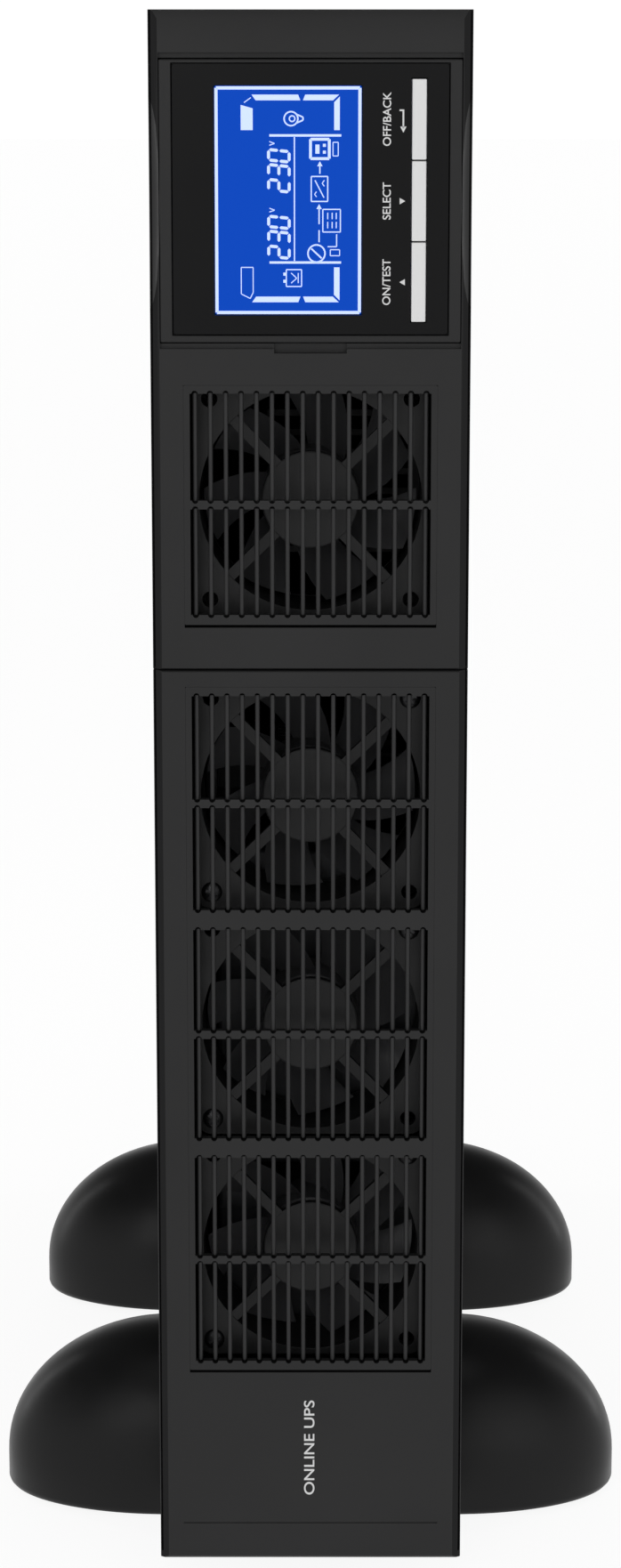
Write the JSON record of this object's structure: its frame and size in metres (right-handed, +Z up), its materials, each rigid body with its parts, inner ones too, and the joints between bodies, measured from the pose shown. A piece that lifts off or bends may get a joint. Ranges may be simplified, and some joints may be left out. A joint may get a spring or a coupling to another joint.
{
  "type": "uninterruptible power supply",
  "caption": "Slim rack or tower uninterruptible power supply standing upright on half-dome feet, with display panel, grilled fans and slide-out battery tray.",
  "frame": {"origin": "middle of the bounding box on the surface that the pads stand on", "axes": "+Z up, the front with the display looks along -Y, +X is to the right seen from the front"},
  "size_m": [0.186, 0.38, 0.446],
  "materials": {
    "case_steel": "fine satin black powder coat",
    "zinc_steel": "zinc-plated sheet",
    "bezel_plastic": "fine-textured satin black moulding",
    "grille_plastic": "satin black moulding",
    "window_plastic": "polished black panel",
    "screen": "blue backlit display",
    "key_plastic": "light grey satin",
    "fan_plastic": "satin black glass-filled moulding",
    "foot_plastic": "satin black moulding",
    "pad_rubber": "matt",
    "circuit_board": "green solder mask",
    "heatsink_aluminium": "extruded, black anodised",
    "choke_winding": "enamelled copper wire",
    "capacitor_can": "dark sleeve",
    "socket_plastic": "black moulding",
    "port_shell": "nickel-plated shell",
    "battery_case": "dark grey moulded case",
    "plug_plastic": "dark grey moulding"
  },
  "bodies": {
    "chassis": {"chassis_pan": "case_steel", "side_cover": "case_steel", "rear_panel": "case_steel", "front_bulkhead": "case_steel", "bay_divider": "zinc_steel", "upper_bezel": "bezel_plastic", "upper_grille": "grille_plastic", "fan_frame_1": "fan_plastic", "main_board": "circuit_board", "control_board": "circuit_board", "heatsink_rectifier": "heatsink_aluminium", "heatsink_inverter": "heatsink_aluminium", "boost_choke": "choke_winding", "output_choke": "choke_winding", "bus_capacitor_1": "capacitor_can", "bus_capacitor_2": "capacitor_can", "usb_port": "port_shell", "serial_port": "port_shell", "emergency_off_socket": "socket_plastic", "network_jack": "port_shell", "mains_inlet": "socket_plastic", "outlet_block_1": "socket_plastic", "outlet_block_2": "socket_plastic", "external_battery_socket": "socket_plastic", "breaker_body": "socket_plastic", "card_slot_cover": "case_steel", "foot_front_left": "foot_plastic", "foot_front_right": "foot_plastic", "foot_rear_left": "foot_plastic", "foot_rear_right": "foot_plastic", "pad_front_left": "pad_rubber", "pad_front_right": "pad_rubber", "pad_rear_left": "pad_rubber", "pad_rear_right": "pad_rubber"},
    "battery_drawer": {"battery_tray": "zinc_steel", "tray_face": "case_steel", "tray_handle": "foot_plastic", "battery_plug": "plug_plastic", "battery_1": "battery_case", "battery_2": "battery_case", "battery_3": "battery_case", "battery_4": "battery_case", "fan_frame_2": "fan_plastic", "fan_frame_3": "fan_plastic", "fan_frame_4": "fan_plastic"},
    "lower_door": {"lower_bezel": "bezel_plastic", "lower_grille": "grille_plastic"},
    "control_panel": {"panel_frame": "bezel_plastic", "display_window": "window_plastic", "lcd_panel": "screen", "panel_board": "circuit_board"},
    "key_on": {"button_on": "key_plastic"},
    "key_select": {"button_select": "key_plastic"},
    "key_off": {"button_off": "key_plastic"},
    "reset_key": {"breaker_button": "key_plastic"},
    "rotor_1": {"fan_rotor_1": "fan_plastic"},
    "rotor_2": {"fan_rotor_2": "fan_plastic"},
    "rotor_3": {"fan_rotor_3": "fan_plastic"},
    "rotor_4": {"fan_rotor_4": "fan_plastic"}
  },
  "joints": [
    {"name": "panel_pull", "type": "slide", "parent": "chassis", "child": "control_panel", "axis": [0, -1, 0], "range_m": [0, 0.024]},
    {"name": "drawer_slide", "type": "slide", "parent": "chassis", "child": "battery_drawer", "axis": [0, -1, 0], "range_m": [0, 0.24]},
    {"name": "door_pull", "type": "slide", "parent": "battery_drawer", "child": "lower_door", "axis": [0, -1, 0], "range_m": [0, 0.05]},
    {"name": "reset_pop", "type": "slide", "parent": "chassis", "child": "reset_key", "axis": [0, 1, 0], "range_m": [0, 0.004]},
    {"name": "key_on_press", "type": "slide", "parent": "control_panel", "child": "key_on", "axis": [0, 1, 0], "range_m": [0, 0.0008], "stiffness_N_per_m": 1500},
    {"name": "key_select_press", "type": "slide", "parent": "control_panel", "child": "key_select", "axis": [0, 1, 0], "range_m": [0, 0.0008], "stiffness_N_per_m": 1500},
    {"name": "key_off_press", "type": "slide", "parent": "control_panel", "child": "key_off", "axis": [0, 1, 0], "range_m": [0, 0.0008], "stiffness_N_per_m": 1500},
    {"name": "fan_1_spin", "type": "hinge", "parent": "chassis", "child": "rotor_1", "pos_m": [0, -0.166, 0.3141], "axis": [0, 1, 0], "continuous": true},
    {"name": "fan_2_spin", "type": "hinge", "parent": "battery_drawer", "child": "rotor_2", "pos_m": [0, -0.166, 0.231], "axis": [0, 1, 0], "continuous": true},
    {"name": "fan_3_spin", "type": "hinge", "parent": "battery_drawer", "child": "rotor_3", "pos_m": [0, -0.166, 0.1648], "axis": [0, 1, 0], "continuous": true},
    {"name": "fan_4_spin", "type": "hinge", "parent": "battery_drawer", "child": "rotor_4", "pos_m": [0, -0.166, 0.0986], "axis": [0, 1, 0], "continuous": true}
  ]
}
